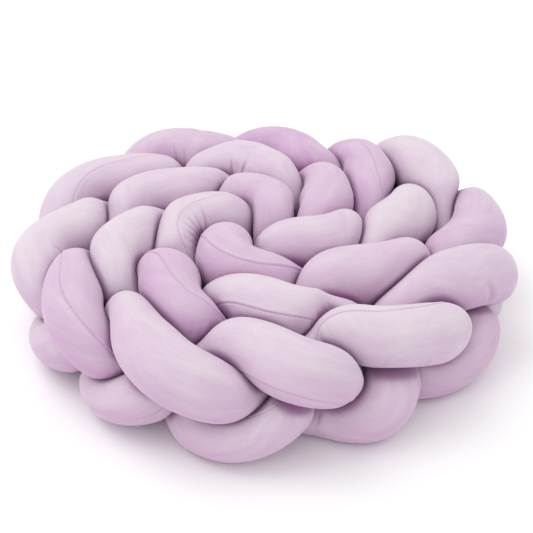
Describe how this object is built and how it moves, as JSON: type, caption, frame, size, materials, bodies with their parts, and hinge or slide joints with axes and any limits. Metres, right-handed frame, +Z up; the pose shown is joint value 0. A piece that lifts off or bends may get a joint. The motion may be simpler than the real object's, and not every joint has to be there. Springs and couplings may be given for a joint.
{
  "type": "braided crib bumper",
  "caption": "Soft padded bumper braided from stuffed velvet rolls, stood on its edge and coiled up flat as it is stored or used as a floor cushion.",
  "frame": {"origin": "centre of the footprint, on the surface that the coil rests on", "axes": "+Z up through the coil, along its shortest side; -Y towards the side of the coil seen from the front, +X to its right; the coil winds outwards counter-clockwise seen from +Z"},
  "size_m": [0.6448, 0.6204, 0.1688],
  "materials": {
    "velvet_a": "lilac short-pile velvet, soft sheen",
    "velvet_b": "lilac short-pile velvet, soft sheen",
    "velvet_c": "lilac short-pile velvet, soft sheen"
  },
  "bodies": {
    "root": {"roll_a": "velvet_a", "roll_b": "velvet_b", "roll_c": "velvet_c"}
  },
  "joints": []
}
